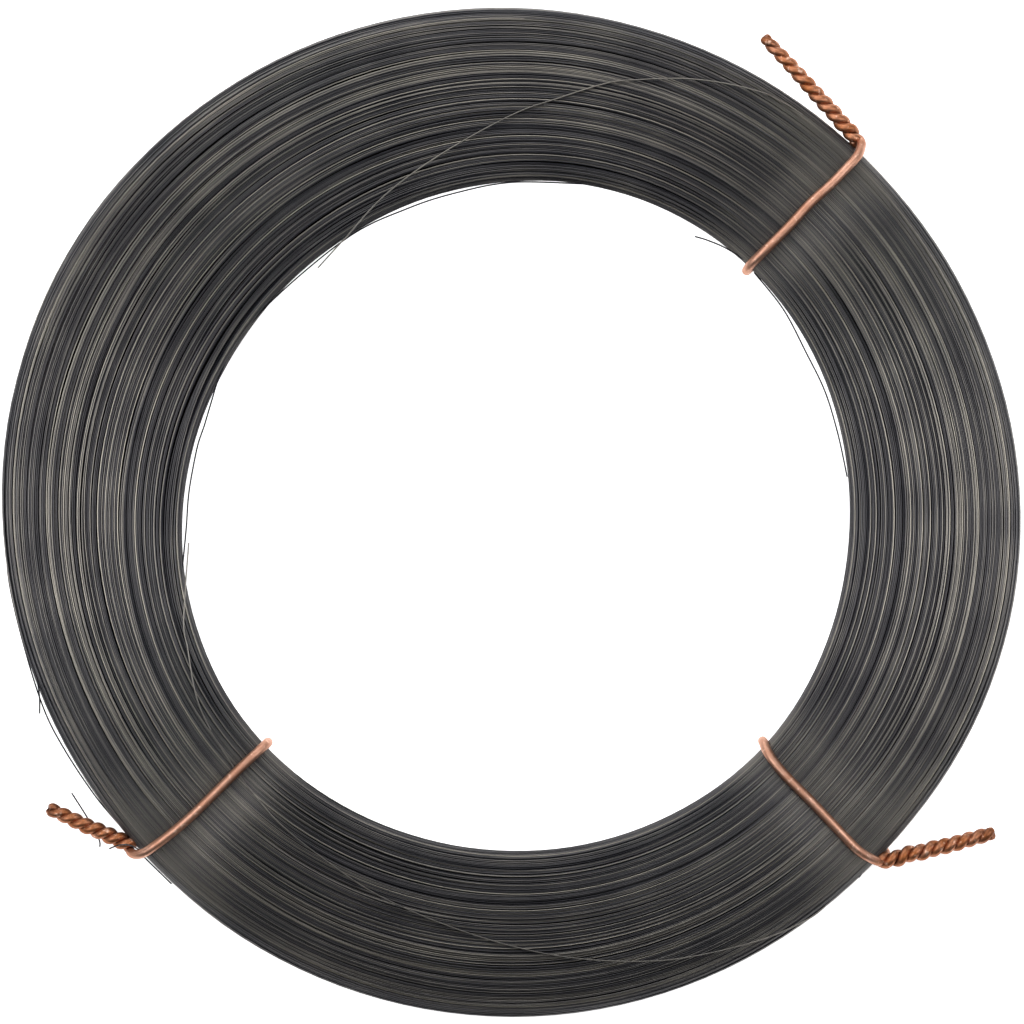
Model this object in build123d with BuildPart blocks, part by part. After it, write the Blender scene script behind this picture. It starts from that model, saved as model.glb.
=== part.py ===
"""A coil of music wire, laid flat and held by three copper ties twisted at the outside.

Millimetres, +Z up. The origin is the centre of the coil, on the plane of its underside.
"""
import os
from math import ceil, cos, degrees, radians, sin

from build123d import *

# The bundle of turns: its bore, how wide the band of turns is, and how high they pile up
bore_radius = 57.15
band_width = 29.35
shoulder_height = 7.3
crown_rise = 1.3
edge_radius = 2.9

# The lay of the turns: ridged bands over the top and the sides, grooves in the flat underside
top_bands = 8
band_rise = 0.25
groove_count = 3
groove_width = 0.9
groove_depth = 0.35

# The copper tie wire, how far it is pulled into the bundle, and how it goes round it
tie_wire = 1.63
top_let_in = 0.9
bore_let_in = 1.25
tie_gap = 0.15
bore_flat = 1.0
outer_bend = 2.5

# The twisted tails: the two strands bite into each other, so they lie less than a wire apart
strand_spacing = 1.05
twist_pitch = 4.16
tail_bend = 1.6

# How far beside its tie each twisted tail starts, and how long its twist is
upper_right_offset = 2.3
upper_right_tail = 23.4
lower_left_offset = -3.6
lower_left_tail = 15.0
lower_right_offset = 1.8
lower_right_tail = 19.0

# Each tie: name, its angle round the coil, where its tail starts beside it, the way the tail
# points against the tie's own outward direction, and how long the twist is
ties = [
    ("tie_upper_right", 45.6, upper_right_offset, 86.4, upper_right_tail),
    ("tie_lower_left", 223.5, lower_left_offset, -70.5, lower_left_tail),
    ("tie_lower_right", 316.6, lower_right_offset, 57.4, lower_right_tail),
]

# The tie wire has few sides, and takes its bends and its twist in short straight steps
wire_sides = 8
bend_step_degrees = 30
twist_step_degrees = 45

outer_radius = bore_radius + band_width
outer_edge = outer_radius - edge_radius
inner_edge = bore_radius + edge_radius
top_edge = shoulder_height - edge_radius
wall_middle = (edge_radius + top_edge) / 2

tie_radius = tie_wire / 2
bottom_run_height = tie_gap + tie_radius
top_run_height = shoulder_height + crown_rise - top_let_in + tie_radius
tail_height = (bottom_run_height + top_run_height) / 2
inner_run_radius = bore_radius + bore_let_in - tie_radius
outer_run_radius = outer_radius + tie_gap + tie_radius
tail_root_radius = outer_radius + tie_gap + (strand_spacing + tie_wire) / 2
inner_bend = (top_run_height - bottom_run_height - bore_flat) / 2


def round_edge(centre_r, centre_z, first_angle):
    """A band round one edge of the bundle's section: its groove, its crest and its next groove."""
    points = []
    for angle, reach in ((0, edge_radius - band_rise), (45, edge_radius), (90, edge_radius - band_rise)):
        turn = radians(first_angle + angle)
        points.append((centre_r + reach * cos(turn), centre_z + reach * sin(turn)))
    return points


def across_top(step):
    """A groove, or at an odd step a crest, of the crowned top from the outside to the bore."""
    share = step / (2 * top_bands)
    height = shoulder_height + crown_rise * 4 * share * (1 - share)
    return (outer_edge + share * (inner_edge - outer_edge), height - (0 if step % 2 else band_rise))


# The coil: one turned solid, its section a ring of ridged bands on a flat, grooved underside
section = [(outer_edge, 0)]
section += round_edge(outer_edge, edge_radius, -90)[1:]
section += [(outer_radius, wall_middle)]
section += round_edge(outer_edge, top_edge, 0)
section += [across_top(step) for step in range(1, 2 * top_bands)]
section += round_edge(inner_edge, top_edge, 90)
section += [(bore_radius, wall_middle)]
section += round_edge(inner_edge, edge_radius, 180)[:-1]
section += [(inner_edge, 0)]
for i in range(1, groove_count + 1):
    groove = inner_edge + i * (outer_edge - inner_edge) / (groove_count + 1)
    section += [(groove - groove_width / 2, 0), (groove, groove_depth), (groove + groove_width / 2, 0)]

# Each tie has pulled a narrow seat into the top, the bore and the underside
seat_floor = bottom_run_height + tie_radius + tie_gap
seat_roof = top_run_height - tie_radius - tie_gap
seat_bore = inner_run_radius + tie_radius + tie_gap

with BuildPart() as wire_coil:
    with BuildSketch(Plane.XZ):
        with BuildLine():
            Polyline(section, close=True)
        make_face()
    revolve(axis=Axis.Z)
    for name, angle, tail_offset, tail_heading, tail_length in ties:
        frame = Plane.XY.rotated((0, 0, angle))
        with BuildSketch(Plane(frame.origin, x_dir=frame.x_dir, z_dir=-frame.y_dir)):
            with Locations((outer_radius, seat_roof / 2)):
                Rectangle(outer_radius, 4 * seat_roof)
            with Locations((seat_bore, (seat_floor + seat_roof) / 2)):
                RectangleRounded(
                    outer_radius - seat_bore, seat_roof - seat_floor, inner_bend - tie_radius - tie_gap,
                    align=(Align.MIN, Align.CENTER), mode=Mode.SUBTRACT,
                )
        extrude(amount=tie_radius + 2 * tie_gap, both=True, mode=Mode.SUBTRACT)
wire_coil.part.label = "wire_coil"


def in_steps(path):
    """The corners of a smooth path whose arcs are taken in short straight steps."""
    points = [path @ 0]
    for edge in path.order_edges():
        arc = edge.geom_type == GeomType.CIRCLE
        steps = ceil(degrees(edge.length / edge.radius) / bend_step_degrees) if arc else 1
        points += [edge @ (i / steps) for i in range(1, steps + 1)]
    return points


def strand(frame, twist, tail_length, side):
    """Half of a tie's wire, from its middle in the bore to its tip, as the corners of its path.

    The side is 1 for the strand over the top and -1 for the one along the underside. The twist
    is the plane where the twisted tail starts, its own X pointing up and its Z along the tail.
    """
    run_height = tail_height + side * (top_run_height - tail_height)
    lead_in = twist.from_local_coords(Vector(side * strand_spacing / 2, 0, -tail_bend))
    with BuildLine() as loop:
        FilletPolyline(
            frame.from_local_coords(Vector(inner_run_radius, 0, tail_height)),
            frame.from_local_coords(Vector(inner_run_radius, 0, run_height)),
            frame.from_local_coords(Vector(outer_run_radius, 0, run_height)),
            lead_in,
            twist.from_local_coords(Vector(side * strand_spacing / 2, 0, 0)),
            radius=[inner_bend, outer_bend, tail_bend],
        )
    corners = in_steps(loop.wire())
    whole_turn = 360 * tail_length / twist_pitch
    steps = ceil(whole_turn / twist_step_degrees)
    for i in range(1, steps + 1):
        turn = radians(-whole_turn * i / steps)
        beside = Vector(cos(turn), sin(turn), 0) * (side * strand_spacing / 2)
        corners.append(twist.from_local_coords(beside + Vector(0, 0, tail_length * i / steps)))
    return corners


os.makedirs("parts", exist_ok=True)
export_step(wire_coil.part, "parts/wire_coil.step")

# The ties: one wire each, its two strands turned left-handed round the axis of the tail
for name, angle, tail_offset, tail_heading, tail_length in ties:
    frame = Plane.XY.rotated((0, 0, angle))
    root = frame.from_local_coords(Vector(tail_root_radius, tail_offset, tail_height))
    along = Vector(cos(radians(angle + tail_heading)), sin(radians(angle + tail_heading)), 0)
    twist = Plane(root + along * tail_bend, x_dir=(0, 0, 1), z_dir=along)
    with BuildPart() as tie:
        for side in (1, -1):
            with BuildLine() as path:
                Polyline(strand(frame, twist, tail_length, side))
            with BuildSketch(Plane(path.line @ 0, z_dir=path.line % 0)):
                RegularPolygon(tie_radius, wire_sides)
            sweep(path=path.line, transition=Transition.RIGHT)
    tie.part.label = name
    export_step(tie.part, f"parts/{name}.step")
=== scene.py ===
"""A flat coil of fine music wire, held by three twisted copper ties and seen from straight above.

Metres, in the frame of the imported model: the coil's axis is Z and its underside lies on Z = 0.
"""
from math import cos, pi, radians, sin, tau

import bpy
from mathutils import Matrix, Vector


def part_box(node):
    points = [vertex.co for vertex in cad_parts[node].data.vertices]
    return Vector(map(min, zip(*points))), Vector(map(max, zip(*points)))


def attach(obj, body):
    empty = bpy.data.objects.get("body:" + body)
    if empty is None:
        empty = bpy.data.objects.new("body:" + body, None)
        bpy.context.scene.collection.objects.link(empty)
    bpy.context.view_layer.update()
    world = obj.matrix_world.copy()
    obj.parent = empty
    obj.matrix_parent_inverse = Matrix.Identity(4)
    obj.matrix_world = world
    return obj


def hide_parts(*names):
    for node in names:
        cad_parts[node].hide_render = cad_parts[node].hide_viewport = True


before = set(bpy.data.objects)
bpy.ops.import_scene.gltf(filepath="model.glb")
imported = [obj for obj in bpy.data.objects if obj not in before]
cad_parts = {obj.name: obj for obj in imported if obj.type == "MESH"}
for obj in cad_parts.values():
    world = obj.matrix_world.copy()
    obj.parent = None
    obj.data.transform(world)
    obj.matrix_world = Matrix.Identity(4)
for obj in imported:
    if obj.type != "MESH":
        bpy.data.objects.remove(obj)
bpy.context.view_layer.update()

mm = 0.001

# The camera hangs straight over the coil and far away, as in the picture, so that nothing in it
# leans. The picture is square and a little wider than the coil with its three tie tails.
picture_width = 174.8 * mm
camera_height = 3.0
coil_low, coil_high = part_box("wire_coil")

camera = bpy.data.objects.new("camera", bpy.data.cameras.new("camera"))
camera.location = (0, 0, camera_height)
camera.data.lens = camera.data.sensor_width * (camera_height - coil_high.z / 2) / picture_width
bpy.context.scene.collection.objects.link(camera)
bpy.context.scene.camera = camera


# The section of the bundle. The wire is wound loose on a block and lies down into a flat ring
# with a level underside, round edges and a crowned top; the turns fill this outline.
half_band = 14.675 * mm
edge_radius = 2.9 * mm
crown_rise = 1.3 * mm
shoulder = coil_high.z - crown_rise
corner_step = 15
crown_steps = 12


def round_corner(x, z, first_angle):
    """A quarter circle of the section round its centre, in short steps."""
    angles = [radians(first_angle + step) for step in range(0, 91, corner_step)]
    return [(x + edge_radius * cos(a), z + edge_radius * sin(a)) for a in angles]


inset = half_band - edge_radius
outline = [(0, 0)]
outline += round_corner(inset, edge_radius, -90)
outline += round_corner(inset, shoulder - edge_radius, 0)
for step in range(1, crown_steps):
    across = 1 - 2 * step / crown_steps
    outline.append((across * inset, shoulder + crown_rise * (1 - across**2)))
outline += round_corner(-inset, shoulder - edge_radius, 90)
outline += round_corner(-inset, edge_radius, 180)


def poly_curve(name, paths, closed=False):
    """A curve object of straight runs; each path is a list of (x, y, z, radius)."""
    curve = bpy.data.curves.new(name, "CURVE")
    curve.dimensions = "3D"
    for path in paths:
        spline = curve.splines.new("POLY")
        spline.points.add(len(path) - 1)
        for point, (x, y, z, radius) in zip(spline.points, path):
            point.co = (x, y, z, 1)
            point.radius = radius
        spline.use_cyclic_u = closed
    return bpy.data.objects.new(name, curve)


def add(tree, kind, inputs=(), **settings):
    """Adds a node, sets what it does, and fills its inputs with values, nodes or their outputs."""
    node = tree.nodes.new(kind)
    for name, value in settings.items():
        setattr(node, name, value)
    for key, value in dict(inputs).items():
        if isinstance(value, bpy.types.Node):
            value = value.outputs[0]
        if isinstance(value, bpy.types.NodeSocket):
            tree.links.new(value, node.inputs[key])
        else:
            node.inputs[key].default_value = value
    return node


def new_tree(name, inputs, output=("Geometry", "NodeSocketGeometry")):
    """A Geometry Nodes tree with named inputs and one output."""
    tree = bpy.data.node_groups.new(name, "GeometryNodeTree")
    for socket, kind in inputs:
        tree.interface.new_socket(socket, in_out="INPUT", socket_type=kind)
    tree.interface.new_socket(output[0], in_out="OUTPUT", socket_type=output[1])
    return tree, add(tree, "NodeGroupInput").outputs


def grown(name, source, tree, values, material):
    """The plain mesh that a tree makes of a curve, as an object that rides with the coil."""
    modifier = source.modifiers.new(name, "NODES")
    modifier.node_group = tree
    for socket in tree.interface.items_tree:
        if socket.in_out == "INPUT" and socket.name in values:
            modifier[socket.identifier] = values[socket.name]
    bpy.context.scene.collection.objects.link(source)
    depsgraph = bpy.context.evaluated_depsgraph_get()
    mesh = bpy.data.meshes.new_from_object(source.evaluated_get(depsgraph), depsgraph=depsgraph)
    bpy.data.objects.remove(source)
    mesh.materials.clear()
    mesh.materials.append(material)
    piece = bpy.data.objects.new(name, mesh)
    bpy.context.scene.collection.objects.link(piece)
    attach(piece, "root")
    return piece


# How slack the turns are: not at all where a tie grips them, and fully a little way from it.
tie_angles = (45.6, 223.5, 317.0)
outer_at_ties = (85.15 * mm, 85.6 * mm, 85.85 * mm)
bore_at_ties = (58.35 * mm, 58.15 * mm, 58.9 * mm)
coil_radius = (outer_at_ties[0] + bore_at_ties[0]) / 2

slackness, given = new_tree(
    "slack away from the ties",
    [("Factor", "NodeSocketFloat"), ("Grip", "NodeSocketFloat"), ("Reach", "NodeSocketFloat")],
    ("Slack", "NodeSocketFloat"),
)
slack = 1.0
for tie_angle in tie_angles:
    half_round_on = 0.5 - tie_angle / 360
    opposite = add(slackness, "ShaderNodeMath", {0: given["Factor"], 1: half_round_on}, operation="ADD")
    opposite = add(slackness, "ShaderNodeMath", {0: opposite, 1: 1}, operation="FLOORED_MODULO")
    away = add(slackness, "ShaderNodeMath", {0: opposite, 1: 0.5}, operation="SUBTRACT")
    away = add(slackness, "ShaderNodeMath", {0: away}, operation="ABSOLUTE")
    away = add(slackness, "ShaderNodeMath", {0: away, 1: tau * coil_radius}, operation="MULTIPLY")
    inputs = {"Value": away, "From Min": given["Grip"], "From Max": given["Reach"]}
    free = add(slackness, "ShaderNodeMapRange", inputs, interpolation_type="SMOOTHERSTEP")
    slack = add(slackness, "ShaderNodeMath", {0: free, 1: slack}, operation="MINIMUM")
add(slackness, "NodeGroupOutput", {"Slack": slack})

# How the section runs round the coil. A tie pulls the band narrow, presses it down and lifts it
# over its own wire, and in each span between two ties the slack turns bow out on both sides.
outer_slacks = (2.1 * mm, 0.3 * mm, 1.2 * mm)
outer_leans = (1.25, 1.0, 0.72)
bore_slacks = (3.5 * mm, 0.5 * mm, 0.8 * mm)
bore_leans = (1.03, 0.8, 0.9)
pressed_depth = 0.95 * mm
lifted_height = 1.8 * mm
pressed_reach = 9 * mm
lifted_reach = 7 * mm
lifted_grip = 0.6 * mm

around, band = new_tree(
    "lay round the coil",
    [("Factor", "NodeSocketFloat"), ("Direction", "NodeSocketVector"), ("Place", "NodeSocketVector")],
    ("Position", "NodeSocketVector"),
)
first_tie = tie_angles[0] / 360
from_first_tie = add(around, "ShaderNodeMath", {0: band["Factor"], 1: first_tie}, operation="SUBTRACT")
from_first_tie = add(around, "ShaderNodeMath", {0: from_first_tie, 1: 1}, operation="FLOORED_MODULO")
edges = []
for at_ties, slacks, leans, outward in (
    (outer_at_ties, outer_slacks, outer_leans, 1), (bore_at_ties, bore_slacks, bore_leans, -1),
):
    edge = at_ties[0]
    for number, tie_angle in enumerate(tie_angles):
        start = (tie_angle - tie_angles[0]) / 360
        end = (tie_angles[(number + 1) % 3] - tie_angles[0]) / 360 or 1
        inputs = {"Value": from_first_tie, "From Min": start, "From Max": end}
        along = add(around, "ShaderNodeMapRange", inputs)
        change = at_ties[(number + 1) % 3] - at_ties[number]
        edge = add(around, "ShaderNodeMath", {0: along, 1: change, 2: edge}, operation="MULTIPLY_ADD")
        leant = add(around, "ShaderNodeMath", {0: along, 1: leans[number]}, operation="POWER")
        turned = add(around, "ShaderNodeMath", {0: leant, 1: pi}, operation="MULTIPLY")
        wave = add(around, "ShaderNodeMath", {0: turned}, operation="SINE")
        bow = add(around, "ShaderNodeMath", {0: wave, 1: wave}, operation="MULTIPLY")
        inputs = {0: bow, 1: outward * slacks[number], 2: edge}
        edge = add(around, "ShaderNodeMath", inputs, operation="MULTIPLY_ADD")
    edges.append(edge)
split = add(around, "ShaderNodeSeparateXYZ", {"Vector": band["Place"]}).outputs
outer_edge, bore_edge = edges
inputs = {
    "Value": split["X"], "From Min": -half_band, "From Max": half_band,
    "To Min": bore_edge, "To Max": outer_edge,
}
radius = add(around, "ShaderNodeMapRange", inputs, clamp=False)
inputs = {"Factor": band["Factor"], "Grip": 0, "Reach": pressed_reach}
top = add(around, "GeometryNodeGroup", inputs, node_tree=slackness)
inputs = {"Factor": band["Factor"], "Grip": lifted_grip, "Reach": lifted_reach}
bottom = add(around, "GeometryNodeGroup", inputs, node_tree=slackness)
inputs = {"Value": top, "To Min": coil_high.z - pressed_depth, "To Max": coil_high.z}
highest = add(around, "ShaderNodeMapRange", inputs)
lowest = add(around, "ShaderNodeMapRange", {"Value": bottom, "To Min": lifted_height, "To Max": 0})
inputs = {"Value": split["Z"], "From Min": 0, "From Max": coil_high.z, "To Min": lowest, "To Max": highest}
height = add(around, "ShaderNodeMapRange", inputs, clamp=False)
level = add(around, "ShaderNodeVectorMath", {0: band["Direction"], "Scale": radius}, operation="SCALE")
raised = add(around, "ShaderNodeCombineXYZ", {"Z": height})
placed = add(around, "ShaderNodeVectorMath", {0: level, 1: raised}, operation="ADD")
add(around, "NodeGroupOutput", {"Position": placed})


def linear(colour):
    """A colour written as sRGB hex, as the linear values that a shader takes."""
    channels = [int(colour[i:i + 2], 16) / 255 for i in (1, 3, 5)]
    return (*[c / 12.92 if c <= 0.04045 else ((c + 0.055) / 1.055) ** 2.4 for c in channels], 1)


def new_material(name):
    """A material with an empty shader, and the shader."""
    material = bpy.data.materials.new(name)
    material.use_nodes = True
    return material, material.node_tree, material.node_tree.nodes["Principled BSDF"]


# Music wire: high-carbon steel, drawn cold through dies to 0.25 mm. The drawing leaves it smooth,
# and its thin soap and phosphate film makes it a dark grey metal, uneven from turn to turn.
wire = 0.254 * mm
film_dark = "#24252B"
film_middle = "#5A595B"
film_light = "#A49F95"
film_patch = 9 * mm
film_unevenness = 0.3
film_roughness = (0.45, 0.28)

music_wire, tree, steel = new_material("drawn music wire")
tone = add(tree, "ShaderNodeAttribute", attribute_name="tone").outputs["Fac"]
place = add(tree, "ShaderNodeTexCoord").outputs["Object"]
patches = add(tree, "ShaderNodeTexNoise", {"Vector": place, "Scale": 1 / film_patch, "Detail": 1})
tone = add(tree, "ShaderNodeMath", {0: patches, 1: film_unevenness, 2: tone}, operation="MULTIPLY_ADD")
tone = add(tree, "ShaderNodeMath", {0: tone, 1: film_unevenness / 2}, operation="SUBTRACT", use_clamp=True)
film = add(tree, "ShaderNodeValToRGB", {"Fac": tone})
film.color_ramp.elements.new(0.5)
for stop, colour in zip(film.color_ramp.elements, (film_dark, film_middle, film_light)):
    stop.color = linear(colour)
tree.links.new(film.outputs[0], steel.inputs["Base Color"])
roughest, smoothest = film_roughness
inputs = {"Value": tone, "To Min": roughest, "To Max": smoothest}
wear = add(tree, "ShaderNodeMapRange", inputs)
tree.links.new(wear.outputs[0], steel.inputs["Roughness"])
steel.inputs["Metallic"].default_value = 1.0

# Under the turns that show lies the rest of the bundle, in deep shadow. It is one closed ring,
# ruled with the same wire, and stands for the coil's solid.
core_depth = 0.75 * mm
core_weld = 0.001 * mm
shadow_grey = "#222222"
shadow_roughness = 0.5

# The rings of a Wave texture lie this far apart at a scale of 1.
ring_spacing = tau / 20

shaded_turns, tree, steel = new_material("drawn music wire in shadow")
place = add(tree, "ShaderNodeTexCoord").outputs["Object"]
inputs = {"Vector": place, "Scale": ring_spacing / wire}
rings = add(tree, "ShaderNodeTexWave", inputs, wave_type="RINGS", rings_direction="Z")
ruled = add(tree, "ShaderNodeBump", {"Height": rings.outputs["Fac"], "Distance": wire / 2})
tree.links.new(ruled.outputs[0], steel.inputs["Normal"])
steel.inputs["Base Color"].default_value = linear(shadow_grey)
steel.inputs["Metallic"].default_value = 1.0
steel.inputs["Roughness"].default_value = shadow_roughness

# A flat grid is rolled up: its X goes round the coil and its Y round the section.
steps_round, steps_across = 181, 61

tree, given = new_tree("core", [("Section", "NodeSocketGeometry"), ("Depth", "NodeSocketFloat")])
inputs = {"Size X": 1, "Size Y": 1, "Vertices X": steps_round, "Vertices Y": steps_across}
grid = add(tree, "GeometryNodeMeshGrid", inputs)
spot = add(tree, "GeometryNodeInputPosition")
spot = add(tree, "ShaderNodeVectorMath", {0: spot, 1: (0.5, 0.5, 0)}, operation="ADD")
spot = add(tree, "ShaderNodeSeparateXYZ", {"Vector": spot}).outputs
turn = add(tree, "ShaderNodeMath", {0: spot["X"], 1: tau}, operation="MULTIPLY")
east = add(tree, "ShaderNodeMath", {0: turn}, operation="COSINE")
north = add(tree, "ShaderNodeMath", {0: turn}, operation="SINE")
direction = add(tree, "ShaderNodeCombineXYZ", {"X": east, "Y": north})
inputs = {"Curves": given["Section"], "Factor": spot["Y"]}
sample = add(tree, "GeometryNodeSampleCurve", inputs, mode="FACTOR").outputs
inward = add(tree, "ShaderNodeVectorMath", {0: sample["Tangent"], 1: (0, 1, 0)}, operation="CROSS_PRODUCT")
sunk = add(tree, "ShaderNodeVectorMath", {0: inward, "Scale": given["Depth"]}, operation="SCALE")
place = add(tree, "ShaderNodeVectorMath", {0: sample["Position"], 1: sunk}, operation="ADD")
inputs = {"Factor": spot["X"], "Direction": direction, "Place": place}
laid = add(tree, "GeometryNodeGroup", inputs, node_tree=around)
shaped = add(tree, "GeometryNodeSetPosition", {"Geometry": grid, "Position": laid})
closed = add(tree, "GeometryNodeMergeByDistance", {"Geometry": shaped, "Distance": core_weld})
smooth = add(tree, "GeometryNodeSetShadeSmooth", {"Geometry": closed})
finish = add(tree, "GeometryNodeSetMaterial", {"Geometry": smooth, "Material": shaded_turns})
add(tree, "NodeGroupOutput", {"Geometry": finish})

section = [(x, 0, z, 1) for x, z in outline]
source = poly_curve("core_section", [section], closed=True)
core = grown("coil_core", source, tree, {"Depth": core_depth}, shaded_turns)
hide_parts("wire_coil")

# The turns that show, each a round wire of its own right round the coil. They lie in ribbons of
# a few wires, crowned like a strand, some higher and some lower, and drift slowly past each
# other, so that some ribbons slip under their neighbours and dark grooves stay between them.
segments = 144
sides = 5
ribbon_width = 0.45 * mm
ribbon_gather = 0.12
ribbon_crown = 0.1 * mm
ribbon_drift = 0.42 * mm
ribbon_pile = 0.15 * mm
ribbon_steps = 0.09 * mm
ribbon_wave = 0.9
own_drift = 0.1 * mm
own_pile = 0.25 * mm
own_wave = 1.6
own_place = 0.4
own_seed = 3

# What drifts is noise taken round the coil. It seldom leaves its middle two fifths, so it is
# stretched to a full swing, and a stride through it from turn to turn keeps them unlike.
full_swing = 2.5
ribbon_stride = 3.7
own_stride = 5.3

# The turns are held still at a tie and are loosest at one side of the coil.
slack_reach = 20 * mm
least_slack = 0.15
loosest_angle = 145
slack_across = 0.55

# How light a turn is, from 0 to 1: by where it lies across the band, in rings of painted light
# and shade, then by chance, and darker as painted shade the further it is sunk. Few wires are
# very bright, and near a tie all come closer to one tone.
painted_shade_bands = (
    (0.05, 0.36), (0.14, 0.48), (0.29, 0.38), (0.37, 0.55), (0.54, 0.48),
    (0.64, 0.57), (0.71, 0.7), (0.8, 0.44), (1.0, 0.49),
)
ribbon_tone = 0.05
own_tone = 0.66
bright_wires = 5.0
bright_seed = 8
bright_tone = 0.45
drifting_tone = 0.25
sunk_painted_shade = -0.35 / mm
gripped_tone = 0.72
gripped_contrast = 0.35

tree, given = new_tree("turns", [
    ("Section", "NodeSocketGeometry"), ("Turns", "NodeSocketInt"), ("First", "NodeSocketFloat"),
    ("Last", "NodeSocketFloat"), ("Length", "NodeSocketFloat"), ("Depth", "NodeSocketFloat"),
    ("Shade", "NodeSocketFloat"), ("Seed", "NodeSocketFloat"),
])

# Each turn is a copy of one circle and has its own share of the way round the section.
ring = add(tree, "GeometryNodeCurvePrimitiveCircle", {"Resolution": segments, "Radius": 1.0}, mode="RADIUS")
inputs = {"Geometry": ring, "Amount": given["Turns"]}
turns = add(tree, "GeometryNodeDuplicateElements", inputs, domain="SPLINE")
index = turns.outputs["Duplicate Index"]
factor = add(tree, "GeometryNodeSplineParameter").outputs["Factor"]
direction = add(tree, "GeometryNodeInputPosition")
own = add(tree, "FunctionNodeRandomValue", {"ID": index, "Seed": own_seed}, data_type="FLOAT").outputs[1]
order = add(tree, "ShaderNodeMath", {0: own, 1: own_place, 2: index}, operation="MULTIPLY_ADD")
inputs = {
    "Value": order, "From Min": 0, "From Max": given["Turns"],
    "To Min": given["First"], "To Max": given["Last"],
}
share = add(tree, "ShaderNodeMapRange", inputs)
round_share = add(tree, "ShaderNodeMath", {0: share, 1: 1}, operation="FLOORED_MODULO")
inputs = {"Curves": given["Section"], "Factor": round_share}
sample = add(tree, "GeometryNodeSampleCurve", inputs, mode="FACTOR").outputs
inward = add(tree, "ShaderNodeVectorMath", {0: sample["Tangent"], 1: (0, 1, 0)}, operation="CROSS_PRODUCT")

# The ribbon that a turn lies in, and how that ribbon drifts.
widths = add(tree, "ShaderNodeMath", {0: given["Length"], 1: 1 / ribbon_width}, operation="MULTIPLY")
widths = add(tree, "ShaderNodeMath", {0: widths, 1: share, 2: given["Seed"]}, operation="MULTIPLY_ADD")
cell = add(tree, "ShaderNodeTexVoronoi", {"W": widths, "Scale": 1.0}, voronoi_dimensions="1D").outputs
chance = add(tree, "ShaderNodeSeparateXYZ", {"Vector": cell["Color"]}).outputs
apart = add(tree, "ShaderNodeMath", {0: cell["W"], 1: ribbon_stride}, operation="MULTIPLY")
inputs = {"Vector": direction, "W": apart, "Scale": ribbon_wave, "Detail": 1}
ribbons = add(tree, "ShaderNodeTexNoise", inputs, noise_dimensions="4D").outputs["Color"]
ribbons = add(tree, "ShaderNodeVectorMath", {0: ribbons, 1: (-0.5, -0.5, -0.5)}, operation="ADD")
inputs = {0: ribbons, 1: (full_swing * ribbon_drift, full_swing * ribbon_pile, 0)}
shift = add(tree, "ShaderNodeVectorMath", inputs, operation="MULTIPLY")

# How the turn drifts by itself.
apart = add(tree, "ShaderNodeMath", {0: order, 1: own_stride, 2: given["Seed"]}, operation="MULTIPLY_ADD")
inputs = {"Vector": direction, "W": apart, "Scale": own_wave, "Detail": 1}
single = add(tree, "ShaderNodeTexNoise", inputs, noise_dimensions="4D").outputs["Color"]
single = add(tree, "ShaderNodeVectorMath", {0: single, 1: (-0.5, -0.5, -0.5)}, operation="ADD")
inputs = {0: single, 1: (full_swing * own_drift, full_swing * own_pile, 0), 2: shift}
shift = add(tree, "ShaderNodeVectorMath", inputs, operation="MULTIPLY_ADD")

# A ribbon's turns are drawn together, and those in its middle stand highest.
gather = add(tree, "ShaderNodeMath", {0: cell["W"], 1: widths}, operation="SUBTRACT")
gather = add(tree, "ShaderNodeMath", {0: gather, 1: ribbon_gather * ribbon_width}, operation="MULTIPLY")
crown = add(tree, "ShaderNodeMath", {0: cell["Distance"], 1: 2.0}, operation="MULTIPLY")
crown = add(tree, "ShaderNodeMath", {0: crown, 1: crown}, operation="MULTIPLY")
crown = add(tree, "ShaderNodeMath", {0: crown, 1: ribbon_crown}, operation="MULTIPLY")
crown = add(tree, "ShaderNodeMath", {0: chance["Y"], 1: ribbon_steps, 2: crown}, operation="MULTIPLY_ADD")
inputs = {0: shift, 1: add(tree, "ShaderNodeCombineXYZ", {"X": gather, "Y": crown})}
shift = add(tree, "ShaderNodeVectorMath", inputs, operation="ADD")

# How loose the turn is there scales all of that, and then the turn is laid round the coil.
inputs = {"Factor": factor, "Grip": 0, "Reach": slack_reach}
slack = add(tree, "GeometryNodeGroup", inputs, node_tree=slackness)
slack = add(tree, "ShaderNodeMapRange", {"Value": slack, "To Min": least_slack, "To Max": 1.0})
loosest = (cos(radians(loosest_angle)), sin(radians(loosest_angle)), 0)
inputs = {0: direction, 1: loosest}
turned = add(tree, "ShaderNodeVectorMath", inputs, operation="DOT_PRODUCT").outputs["Value"]
inputs = {"Value": turned, "From Min": -1, "From Max": 1, "To Min": slack_across, "To Max": 1}
looser = add(tree, "ShaderNodeMapRange", inputs)
slack = add(tree, "ShaderNodeMath", {0: slack, 1: looser}, operation="MULTIPLY")
shift = add(tree, "ShaderNodeVectorMath", {0: shift, "Scale": slack}, operation="SCALE")
shift = add(tree, "ShaderNodeSeparateXYZ", {"Vector": shift}).outputs
depth = add(tree, "ShaderNodeMath", {0: shift["Y"], 1: given["Depth"]}, operation="ADD")
aside = add(tree, "ShaderNodeVectorMath", {0: sample["Tangent"], "Scale": shift["X"]}, operation="SCALE")
sunk = add(tree, "ShaderNodeVectorMath", {0: inward, "Scale": depth}, operation="SCALE")
place = add(tree, "ShaderNodeVectorMath", {0: sample["Position"], 1: aside}, operation="ADD")
place = add(tree, "ShaderNodeVectorMath", {0: place, 1: sunk}, operation="ADD")
place = add(tree, "ShaderNodeVectorMath", {0: place, 1: (-1, -1, wire / 2)}, operation="MAXIMUM")
inputs = {"Factor": factor, "Direction": direction, "Place": place}
laid = add(tree, "GeometryNodeGroup", inputs, node_tree=around)
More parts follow.
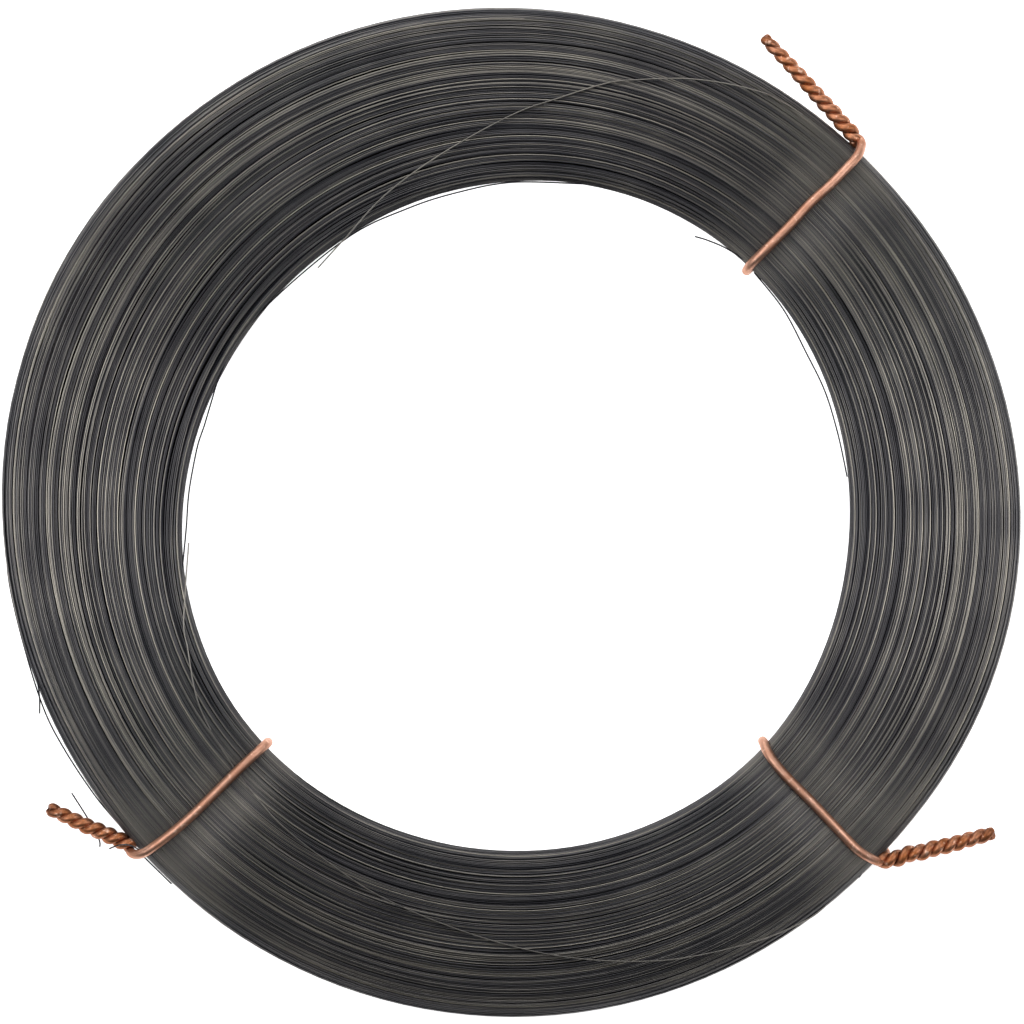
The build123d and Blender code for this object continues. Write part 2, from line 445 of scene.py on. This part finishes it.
shaped = add(tree, "GeometryNodeSetPosition", {"Geometry": turns, "Position": laid})

# The tone that the steel reads, with painted light and shade across the band.
inputs = {"ID": index, "Seed": bright_seed}
rare = add(tree, "FunctionNodeRandomValue", inputs, data_type="FLOAT").outputs[1]
rare = add(tree, "ShaderNodeMath", {0: rare, 1: bright_wires}, operation="POWER")
across = add(tree, "ShaderNodeSeparateXYZ", {"Vector": place}).outputs["X"]
across = add(tree, "ShaderNodeMapRange", {"Value": across, "From Min": -half_band, "From Max": half_band})
painted_shading = add(tree, "ShaderNodeValToRGB", {"Fac": across})
for number, (where, shade) in enumerate(painted_shade_bands):
    stops = painted_shading.color_ramp.elements
    stop = stops[number] if number < 2 else stops.new(1)
    stop.position = where
    stop.color = (shade, shade, shade, 1)
tone = add(tree, "ShaderNodeMath", {0: painted_shading, 1: given["Shade"]}, operation="ADD")
drifting = add(tree, "ShaderNodeSeparateXYZ", {"Vector": ribbons}).outputs["Z"]
# Chance and drift vary each turn's tone, and a sunk turn gets painted shade.
for trait, weight in (
    (chance["Z"], ribbon_tone), (own, own_tone), (rare, bright_tone), (drifting, drifting_tone),
    (shift["Y"], sunk_painted_shade),
):
    tone = add(tree, "ShaderNodeMath", {0: trait, 1: weight, 2: tone}, operation="MULTIPLY_ADD")
inputs = {"Value": slack, "From Min": 0.1, "From Max": 0.9, "To Min": gripped_contrast, "To Max": 1}
uneven = add(tree, "ShaderNodeMapRange", inputs)
tone = add(tree, "ShaderNodeMath", {0: tone, 1: gripped_tone}, operation="SUBTRACT")
tone = add(tree, "ShaderNodeMath", {0: tone, 1: uneven, 2: gripped_tone}, operation="MULTIPLY_ADD")
inputs = {"Geometry": shaped, "Name": "tone", "Value": tone}
told = add(tree, "GeometryNodeStoreNamedAttribute", inputs, domain="POINT")

# The round wire itself, drawn along the turn.
level = add(tree, "GeometryNodeSetCurveNormal", {"Curve": told}, mode="Z_UP")
inputs = {"Resolution": sides, "Radius": wire / 2}
round_wire = add(tree, "GeometryNodeCurvePrimitiveCircle", inputs, mode="RADIUS")
drawn = add(tree, "GeometryNodeCurveToMesh", {"Curve": level, "Profile Curve": round_wire})
smooth = add(tree, "GeometryNodeSetShadeSmooth", {"Geometry": drawn})
real = add(tree, "GeometryNodeRealizeInstances", {"Geometry": smooth})
finish = add(tree, "GeometryNodeSetMaterial", {"Geometry": real, "Material": music_wire})
add(tree, "NodeGroupOutput", {"Geometry": finish})

# The upper turns lie nearly wire to wire. Those below them are further apart, close the grooves
# and are painted darker, as painted shade under the upper turns. A layer has its turns to the
# millimetre, its depth, shade and seed, and a field the shares of the section, from the middle of
# the underside, where it starts and ends.
ends = [Vector((x, z)) for x, z in outline] + [Vector(outline[0])]
section_length = sum((b - a).length for a, b in zip(ends, ends[1:]))
layers = [("turns", 3.8, -0.1 * mm, -0.44, 7.3), ("lower_turns", 2.7, 0.25 * mm, -0.6, 40.2)]
fields = [
    ("beneath", -0.17, 0.17), ("outside", 0.17, 0.30), ("on_top", 0.30, 0.70), ("in_bore", 0.70, 0.83),
]
for layer, turns_per_mm, layer_depth, shade, seed in layers:
    for field, first, last in fields:
        name = layer + "_" + field
        source = poly_curve(name + "_section", [section], closed=True)
        count = round((last - first) * section_length / mm * turns_per_mm)
        values = {"Turns": count, "First": first, "Last": last, "Length": section_length,
                  "Depth": layer_depth, "Shade": shade, "Seed": seed}
        piece = grown(name, source, tree, values, music_wire)


# The ends and the slack turns of the same wire. One end lies right across the top of the band
# and one along its lower half, others hang in the bore or stand off the outside by a wire or two.
# Each has its tone and its points in millimetres, and is drawn smoothly through them. The tones
# are painted light and shade: the ends on the band are light, the one that climbs the outer edge
# by a tie is in between, and those in the bore or off the outside are dark.
strand_steps = 12
strand_sides = 8
strands = [
    (0.75, [(-33.1, 41.6, 8.7), (-28.9, 46.2, 8.7), (-21.7, 54.0, 8.75), (-12.1, 61.0, 8.95),
            (0, 67.7, 9.05), (8.1, 70.6, 9.05), (16.2, 73.1, 9.0), (21.9, 73.7, 8.9),
            (28.8, 73.9, 8.75), (34.2, 73.4, 8.5), (38.6, 72.6, 8.3), (41.0, 72.0, 8.1),
            (43.3, 71.3, 7.9), (45.5, 70.2, 7.7), (48.0, 68.8, 7.3), (51.0, 66.8, 6.4)]),
    (0.7, [(-55.1, -5.2, 7.9), (-56.0, -18.4, 8.2), (-55.3, -23.3, 8.4), (-53.9, -31.2, 8.3),
           (-51.7, -36.6, 7.9), (-48.3, -42.3, 7.65), (-44.6, -47.4, 8.0), (-39.4, -53.3, 8.8),
           (-31.6, -59.5, 9.05), (-23.2, -65.1, 9.1), (-12.1, -70.1, 9.05), (0, -74.0, 8.9),
           (11.1, -76.1, 8.75), (22.4, -76.6, 8.5), (31.2, -75.7, 8.2), (42.3, -73.0, 7.6),
           (50.2, -69.6, 6.9), (53.4, -67.3, 6.2)]),
    (0.0, [(12.0, 56.0, 5.8), (0, 56.25, 5.6), (-9.4, 54.5, 5.4), (-17.8, 51.8, 5.2),
           (-27.8, 47.0, 5.1), (-40.5, 36.5, 5.0), (-47.2, 28.6, 5.0), (-50.0, 22.9, 5.0),
           (-51.25, 19.0, 5.0), (-52.5, 14.8, 5.0), (-53.6, 11.5, 5.0), (-54.5, 7.2, 5.0),
           (-55.2, 2.8, 5.0), (-55.6, -2.8, 4.9), (-56.2, -9.0, 4.8), (-56.7, -14.5, 4.6)]),
    (0.0, [(41.3, 40.9, 5.0), (46.3, 34.6, 5.0), (50.2, 27.2, 5.0), (53.4, 20.6, 5.0),
           (55.6, 13.4, 5.0), (57.2, 6.0, 4.8)]),
    (0.0, [(31.2, 47.0, 6.4), (33.5, 46.3, 6.2), (36.9, 44.8, 5.8), (41.0, 42.0, 5.3)]),
    (0.0, [(-86.2, -3.5, 3.9), (-86.0, -11.0, 4.0), (-83.8, -21.1, 4.1), (-80.2, -32.9, 4.2),
           (-76.6, -40.2, 4.3), (-71.2, -48.4, 4.3), (-66.5, -54.0, 4.2)]),
    (0.0, [(-82.6, -20.8, 5.6), (-80.8, -30.0, 5.5), (-80.6, -34.4, 5.5)]),
    (0.0, [(-75.2, -48.0, 2.6), (-72.6, -52.1, 2.5), (-70.6, -55.8, 2.3), (-70.4, -57.2, 2.2)]),
    (0.5, [(-60.4, -60.6, 3.6), (-62.3, -58.8, 5.0), (-64.0, -57.4, 6.3), (-65.4, -56.8, 6.7),
           (-66.6, -56.75, 6.6), (-67.6, -57.0, 6.05), (-68.7, -57.45, 5.2)]),
    (0.0, [(-63.7, -58.0, 4.4), (-62.8, -58.9, 4.4), (-58.1, -63.5, 4.4)]),
    (0.0, [(60.8, -59.9, 5.0), (59.9, -61.4, 5.0), (59.2, -62.4, 5.1)]),
]

tree, given = new_tree("loose wire", [("Lines", "NodeSocketGeometry")])
tone = add(tree, "GeometryNodeInputRadius")
inputs = {"Geometry": given["Lines"], "Name": "tone", "Value": tone}
told = add(tree, "GeometryNodeStoreNamedAttribute", inputs, domain="POINT")
bent = add(tree, "GeometryNodeCurveSplineType", {"Curve": told}, spline_type="CATMULL_ROM")
fine = add(tree, "GeometryNodeSetSplineResolution", {"Geometry": bent, "Resolution": strand_steps})
inputs = {"Resolution": strand_sides, "Radius": wire / 2}
round_wire = add(tree, "GeometryNodeCurvePrimitiveCircle", inputs, mode="RADIUS")
inputs = {"Curve": fine, "Profile Curve": round_wire, "Fill Caps": True}
drawn = add(tree, "GeometryNodeCurveToMesh", inputs)
smooth = add(tree, "GeometryNodeSetShadeSmooth", {"Geometry": drawn})
finish = add(tree, "GeometryNodeSetMaterial", {"Geometry": smooth, "Material": music_wire})
add(tree, "NodeGroupOutput", {"Geometry": finish})
lines = [[(x * mm, y * mm, z * mm, tone) for x, y, z in strand] for tone, strand in strands]
loose = grown("loose_strands", poly_curve("loose_lines", lines), tree, {}, music_wire)


# Soft copper tie wire, drawn bright and annealed, so it bends by hand. It is pink where it is
# clean, and the plier-twisted tails are browned, with painted shade in the seam between their
# two strands.
copper_clean = "#CFA08A"
copper_glint = "#F0C8B0"
copper_brown = "#A6643A"
# The darkest brown paints shade in the seam and on the flanks of a tail, and darkens its cut tip.
copper_tip_and_shade = "#522C1C"
copper_roughness = (0.42, 0.54)

# Stains brown it everywhere, and a tail is fully browned from a twelfth of its length on. A tail's
# flanks, where its surface faces sideways, get painted shade and its cut tip is darker; small nicks
# show through, painted lighter than clean copper as glints, and fine scuffs roughen it.
stain_size = 2.2 * mm
stain_browning = 0.35
tail_onset = 12.0
tail_browning = 0.6
flank_shade = 0.75
tip_darkening = 0.45
nick_size = 0.9 * mm
nick_glint = 0.8
scuff_size = 0.6 * mm
scuff_depth = 0.06 * mm

tie_copper, tree, copper = new_material("annealed copper tie wire")
towards_tip = add(tree, "ShaderNodeAttribute", attribute_name="tail").outputs["Fac"]
tail = add(tree, "ShaderNodeMath", {0: towards_tip, 1: tail_onset}, operation="MULTIPLY", use_clamp=True)
inputs = {"Value": towards_tip, "From Min": 0.84, "From Max": 0.97, "To Max": tip_darkening}
tip = add(tree, "ShaderNodeMapRange", inputs)
# Painted shade in the seam between a tail's strands.
seam_shade = add(tree, "ShaderNodeAttribute", attribute_name="seam_shade").outputs["Fac"]
coordinates = add(tree, "ShaderNodeTexCoord").outputs
place = coordinates["Object"]
inputs = {"Vector": place, "Scale": 1 / stain_size, "Detail": 4, "Roughness": 0.6}
stain = add(tree, "ShaderNodeTexNoise", inputs)
inputs = {"Value": stain, "From Min": 0.35, "From Max": 0.65, "To Max": stain_browning}
browned = add(tree, "ShaderNodeMapRange", inputs)
inputs = {0: tail, 1: tail_browning, 2: browned}
browned = add(tree, "ShaderNodeMath", inputs, operation="MULTIPLY_ADD", use_clamp=True)
# Nicks of bare copper, painted lighter than clean copper as glints.
nicks_and_glints = add(tree, "ShaderNodeTexNoise", {"Vector": place, "Scale": 1 / nick_size, "Detail": 2})
inputs = {"Value": nicks_and_glints, "From Min": 0.6, "From Max": 0.72, "To Max": nick_glint}
nicks_and_glints = add(tree, "ShaderNodeMapRange", inputs)
# Painted shade on a tail's flanks, where its surface faces sideways.
flank_shade_mask = add(tree, "ShaderNodeSeparateXYZ", {"Vector": coordinates["Normal"]}).outputs["Z"]
flank_shade_mask = add(tree, "ShaderNodeMath", {0: flank_shade_mask}, operation="ABSOLUTE")
inputs = {"Value": flank_shade_mask, "From Min": 0.5, "From Max": 0.05, "To Max": flank_shade}
flank_shade_mask = add(tree, "ShaderNodeMapRange", inputs)
flank_shade_mask = add(tree, "ShaderNodeMath", {0: flank_shade_mask, 1: tail}, operation="MULTIPLY")
colour = linear(copper_clean)
for share, over in (
    (browned, copper_brown), (tip, copper_tip_and_shade), (nicks_and_glints, copper_glint), (seam_shade, copper_tip_and_shade),
    (flank_shade_mask, copper_tip_and_shade),
):
    inputs = {"Factor": share, "A": colour, "B": linear(over)}
    colour = add(tree, "ShaderNodeMix", inputs, data_type="RGBA").outputs[2]
tree.links.new(colour, copper.inputs["Base Color"])
smoothest, roughest = copper_roughness
inputs = {"Value": stain, "From Min": 0.3, "From Max": 0.7, "To Min": smoothest, "To Max": roughest}
dull = add(tree, "ShaderNodeMapRange", inputs)
tree.links.new(dull.outputs[0], copper.inputs["Roughness"])
scuffs = add(tree, "ShaderNodeTexNoise", {"Vector": place, "Scale": 1 / scuff_size, "Detail": 3})
dented = add(tree, "ShaderNodeBump", {"Height": scuffs, "Distance": scuff_depth, "Strength": 0.5})
tree.links.new(dented.outputs[0], copper.inputs["Normal"])
copper.inputs["Metallic"].default_value = 1.0

# A tie is one length of that wire: over the band, down the bore, back beneath, and the two ends
# twisted left-handed at the outside. The pliers press the strands into each other, most at the tip.
tie_wire = 1.63 * mm
twist_step = 45
tip_bevel = 0.75
bend_steps = 6
tie_sides = 16

# Plan points in millimetres with heights: the run over the top from the twist to the bore, the
# run beneath from the bore to the twist, and the twist's axis from its root to its tip. Then how
# far round the upper strand is at the root, the twists in the tail, and at the root and at the
# tip the wire's thickness and how far each strand lies from the axis.
ties = {
    "tie_upper_right": {
        "over": [(59.6, 62.9, 5.4), (59.5, 62.1, 6.1), (59.2, 61.2, 6.9), (58.5, 60.2, 7.6),
                 (57.3, 58.9, 8.1), (54.4, 55.9, 8.5), (50.9, 52.7, 8.6), (47.4, 48.9, 8.6),
                 (43.9, 45.4, 8.3), (42.2, 43.7, 7.8), (40.8, 42.3, 6.9), (40.15, 41.4, 5.6)],
        "under": [(40.1, 41.2, 3.9), (40.6, 41.7, 2.4), (42.2, 43.2, 1.2), (45.5, 46.5, 0.87),
                  (52.0, 54.6, 0.87), (56.0, 59.6, 0.95), (57.8, 61.2, 1.4), (58.5, 62.0, 2.5)],
        "axis": [(58.85, 63.25, 4.3), (57.7, 65.0, 4.7), (56.2, 66.5, 4.8), (54.75, 68.3, 4.8),
                 (53.1, 70.0, 4.8), (50.1, 73.4, 4.8), (47.2, 76.6, 4.8), (44.4, 79.5, 4.8),
                 (43.05, 81.0, 4.8)],
        "start": 65, "turns": 5.43, "root": (1.0, 0.63), "tip": (0.94, 0.34),
    },
    "tie_lower_left": {
        "over": [(-65.0, -58.1, 5.3), (-64.3, -58.4, 6.1), (-63.3, -58.3, 6.9), (-62.2, -57.8, 7.5),
                 (-60.9, -56.9, 8.0), (-59.0, -55.5, 8.3), (-56.6, -53.55, 8.5), (-54.1, -51.3, 8.57),
                 (-51.7, -48.95, 8.6), (-46.2, -43.5, 8.4), (-43.4, -40.9, 7.8), (-42.2, -39.8, 6.9),
                 (-41.7, -39.4, 5.6)],
        "under": [(-41.7, -39.3, 3.9), (-42.1, -39.8, 2.4), (-43.6, -41.3, 1.2), (-47.0, -44.6, 0.87),
                  (-54.0, -50.6, 0.87), (-60.6, -54.9, 0.95), (-63.2, -56.1, 1.8), (-64.3, -56.4, 3.3)],
        "axis": [(-64.9, -57.05, 4.6), (-66.65, -56.15, 4.7), (-68.55, -55.3, 4.8), (-70.6, -54.4, 4.8),
                 (-72.6, -53.6, 4.8), (-74.5, -52.7, 4.8), (-76.4, -51.8, 4.8), (-79.05, -50.6, 4.8)],
        "start": -90, "turns": 3.68, "root": (0.98, 0.7), "tip": (1.0, 0.4),
    },
    "tie_lower_right": {
        "over": [(61.9, -59.4, 6.1), (61.0, -58.95, 6.8), (59.75, -58.2, 7.5), (58.2, -56.9, 8.1),
                 (54.5, -53.0, 8.5), (51.1, -49.4, 8.6), (46.8, -45.1, 8.4), (44.6, -42.5, 7.9),
                 (43.4, -40.6, 7.0), (42.9, -39.3, 5.7)],
        "under": [(42.8, -39.1, 3.9), (43.2, -39.6, 2.4), (44.6, -41.0, 1.2), (48.0, -44.3, 0.87),
                  (54.5, -50.6, 0.87), (60.5, -55.9, 0.9), (62.9, -57.3, 1.4), (63.8, -58.2, 2.3),
                  (63.4, -59.1, 3.3)],
        "axis": [(62.7, -59.6, 4.75), (63.75, -59.4, 4.8), (65.8, -59.1, 4.8), (67.9, -58.3, 4.8),
                 (70.3, -58.0, 4.8), (72.4, -57.3, 4.8), (74.6, -56.9, 4.8), (78.35, -55.8, 4.8),
                 (82.1, -54.8, 4.8)],
        "start": 0, "turns": 4.75, "root": (1.0, 0.7), "tip": (1.03, 0.45),
    },
}


def along_points(points, share):
    """A place on a line of straight runs, at a share of its length, and the way it points there."""
    places = [Vector(p) * mm for p in points]
    runs = [(b - a).length for a, b in zip(places, places[1:])]
    left = share * sum(runs)
    for (a, b), run in zip(zip(places, places[1:]), runs):
        if left <= run or b is places[-1]:
            return a + (b - a) * (left / run), (b - a).normalized()
        left -= run


def twisted_strand(tie, side):
    """One strand of a twisted tail from its root to its bevelled tip; the side is 1 or -1."""
    steps = round(tie["turns"] * 360 / twist_step)
    points = []
    for step in range(steps + 1):
        share = step / steps
        centre, heading = along_points(tie["axis"], share)
        up = Vector((0, 0, 1))
        across = heading.cross(up)
        thickness, apart = [a + (b - a) * share**2 for a, b in zip(tie["root"], tie["tip"])]
        turn = radians(tie["start"] - 360 * tie["turns"] * share)
        out = (up * cos(turn) + across * sin(turn)) * (side * apart * mm)
        points.append((*(centre + out), thickness))
    points[-1] = (*points[-1][:3], tip_bevel * thickness)
    return points


tree, given = new_tree("tie", [("Line", "NodeSocketGeometry"), ("Tail", "NodeSocketFloat")])
bent = add(tree, "GeometryNodeCurveSplineType", {"Curve": given["Line"]}, spline_type="CATMULL_ROM")
fine = add(tree, "GeometryNodeSetSplineResolution", {"Geometry": bent, "Resolution": bend_steps})
length_share = add(tree, "GeometryNodeSplineParameter").outputs["Factor"]
mirrored = add(tree, "ShaderNodeMath", {0: 1.0, 1: length_share}, operation="SUBTRACT")
nearest_end = add(tree, "ShaderNodeMath", {0: length_share, 1: mirrored}, operation="MINIMUM")
inputs = {"Value": nearest_end, "From Min": 0, "From Max": given["Tail"], "To Min": 1, "To Max": 0}
in_tail = add(tree, "ShaderNodeMapRange", inputs)
inputs = {"Geometry": fine, "Name": "tail", "Value": in_tail}
told = add(tree, "GeometryNodeStoreNamedAttribute", inputs, domain="POINT")

# Both strands of a tail start at the tie, so the other one is at the mirrored share of the line.
inputs = {"Curves": given["Line"], "Factor": mirrored}
other = add(tree, "GeometryNodeSampleCurve", inputs, mode="FACTOR").outputs["Position"]
here = add(tree, "GeometryNodeInputPosition")
towards = add(tree, "ShaderNodeVectorMath", {0: other, 1: here}, operation="SUBTRACT")
towards = add(tree, "ShaderNodeVectorMath", {0: towards}, operation="NORMALIZE")
inputs = {"Geometry": told, "Name": "other", "Value": towards}
told = add(tree, "GeometryNodeStoreNamedAttribute", inputs, data_type="FLOAT_VECTOR", domain="POINT")

inputs = {"Resolution": tie_sides, "Radius": tie_wire / 2}
round_wire = add(tree, "GeometryNodeCurvePrimitiveCircle", inputs, mode="RADIUS")
thickness = add(tree, "GeometryNodeInputRadius")
inputs = {"Curve": told, "Profile Curve": round_wire, "Scale": thickness, "Fill Caps": True}
drawn = add(tree, "GeometryNodeCurveToMesh", inputs)

# The seam is where a strand's surface faces the other strand; a tail gets painted shade there.
other = add(tree, "GeometryNodeInputNamedAttribute", {"Name": "other"}, data_type="FLOAT_VECTOR").outputs[0]
outward = add(tree, "GeometryNodeInputNormal")
facing = add(tree, "ShaderNodeVectorMath", {0: other, 1: outward}, operation="DOT_PRODUCT")
inputs = {"Value": facing.outputs["Value"], "From Min": -0.2, "From Max": 0.65}
seam_shade = add(tree, "ShaderNodeMapRange", inputs)
tail = add(tree, "GeometryNodeInputNamedAttribute", {"Name": "tail"}, data_type="FLOAT").outputs[0]
tail = add(tree, "ShaderNodeMath", {0: tail, 1: tail_onset}, operation="MULTIPLY", use_clamp=True)
seam_shade = add(tree, "ShaderNodeMath", {0: seam_shade, 1: tail}, operation="MULTIPLY")
inputs = {"Geometry": drawn, "Name": "seam_shade", "Value": seam_shade}
told = add(tree, "GeometryNodeStoreNamedAttribute", inputs, domain="POINT")
smooth = add(tree, "GeometryNodeSetShadeSmooth", {"Geometry": told})
finish = add(tree, "GeometryNodeSetMaterial", {"Geometry": smooth, "Material": tie_copper})
add(tree, "NodeGroupOutput", {"Geometry": finish})

for name, tie in ties.items():
    upper = twisted_strand(tie, 1)
    lower = twisted_strand(tie, -1)
    loop = [(x * mm, y * mm, z * mm, 1) for x, y, z in tie["over"] + tie["under"]]
    line = upper[::-1] + loop + lower
    runs = [(Vector(b[:3]) - Vector(a[:3])).length for a, b in zip(line, line[1:])]
    tail_share = sum(runs[:len(upper) + 1]) / sum(runs)
    source = poly_curve(name + "_line", [line])
    piece = grown(name + "_wire", source, tree, {"Tail": tail_share}, tie_copper)
    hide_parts(name)


# The coil lies on a plain white sheet, which shows white and keeps a faint soft shadow.
half_floor = 3.0
floor_drop = 0.01 * mm
sheet_white = "#F4F4F4"
sheet_roughness = 0.9
sheet_glow = 0.9

floor_mesh = bpy.data.meshes.new("floor")
corners = ((-1, -1), (1, -1), (1, 1), (-1, 1))
corners = [(x * half_floor, y * half_floor, -floor_drop) for x, y in corners]
floor_mesh.from_pydata(corners, [], [(0, 1, 2, 3)])
floor = bpy.data.objects.new("floor", floor_mesh)
bpy.context.scene.collection.objects.link(floor)

paper, tree, shader = new_material("matt white paper")
shader.inputs["Base Color"].default_value = linear(sheet_white)
shader.inputs["Roughness"].default_value = sheet_roughness
path = add(tree, "ShaderNodeLightPath").outputs
inputs = {0: path["Is Camera Ray"], 1: path["Is Glossy Ray"]}
seen = add(tree, "ShaderNodeMath", inputs, operation="MAXIMUM")
seen = add(tree, "ShaderNodeMath", {0: seen, 1: path["Is Transmission Ray"]}, operation="MAXIMUM")
seen = add(tree, "ShaderNodeMath", {0: seen, 1: sheet_glow}, operation="MULTIPLY")
glow = add(tree, "ShaderNodeEmission", {"Color": (1, 1, 1, 1), "Strength": seen})
both = add(tree, "ShaderNodeAddShader", {0: shader, 1: glow})
tree.links.new(both.outputs[0], tree.nodes["Material Output"].inputs["Surface"])
floor_mesh.materials.append(paper)

# The room is a dim dome, darker sideways and towards the lower edge of the picture.
light_overhead = 0.2
light_sideways = 0.15
lower_share = 0.15

world = bpy.data.worlds.new("white studio")
world.use_nodes = True
bpy.context.scene.world = world
tree = world.node_tree
towards = add(tree, "ShaderNodeTexCoord").outputs["Generated"]
towards = add(tree, "ShaderNodeSeparateXYZ", {"Vector": towards}).outputs
inputs = {
    "Value": towards["Z"], "From Min": 1, "From Max": 0.2,
    "To Min": light_overhead, "To Max": light_sideways,
}
dome = add(tree, "ShaderNodeMapRange", inputs)
inputs = {"Value": towards["Y"], "From Min": -0.8, "From Max": 0.4, "To Min": lower_share, "To Max": 1}
upper = add(tree, "ShaderNodeMapRange", inputs)
strength = add(tree, "ShaderNodeMath", {0: dome, 1: upper}, operation="MULTIPLY")
tree.links.new(strength.outputs[0], tree.nodes["Background"].inputs["Strength"])
tree.nodes["Background"].inputs["Color"].default_value = (1, 1, 1, 1)

# Soft boxes stand to the left, the right and above the picture; each streaks the turns it faces.
lamps = [
    ("left_softbox", (-0.27, 0.01, 0.42), (0.26, 0.36), 1.07),
    ("right_softbox", (0.3, 0.01, 0.4), (0.26, 0.42), 0.98),
    ("upper_softbox", (-0.03, 0.2, 0.14), (0.3, 0.12), 0.34),
]
for name, place, (length, height), power in lamps:
    lamp = bpy.data.objects.new(name, bpy.data.lights.new(name, "AREA"))
    lamp.data.shape = "RECTANGLE"
    lamp.data.size = length
    lamp.data.size_y = height
    lamp.data.energy = power
    lamp.location = place
    lamp.rotation_mode = "QUATERNION"
    lamp.rotation_quaternion = (-Vector(place)).to_track_quat("-Z", "Y")
    bpy.context.scene.collection.objects.link(lamp)

bpy.context.scene.view_settings.view_transform = "Standard"
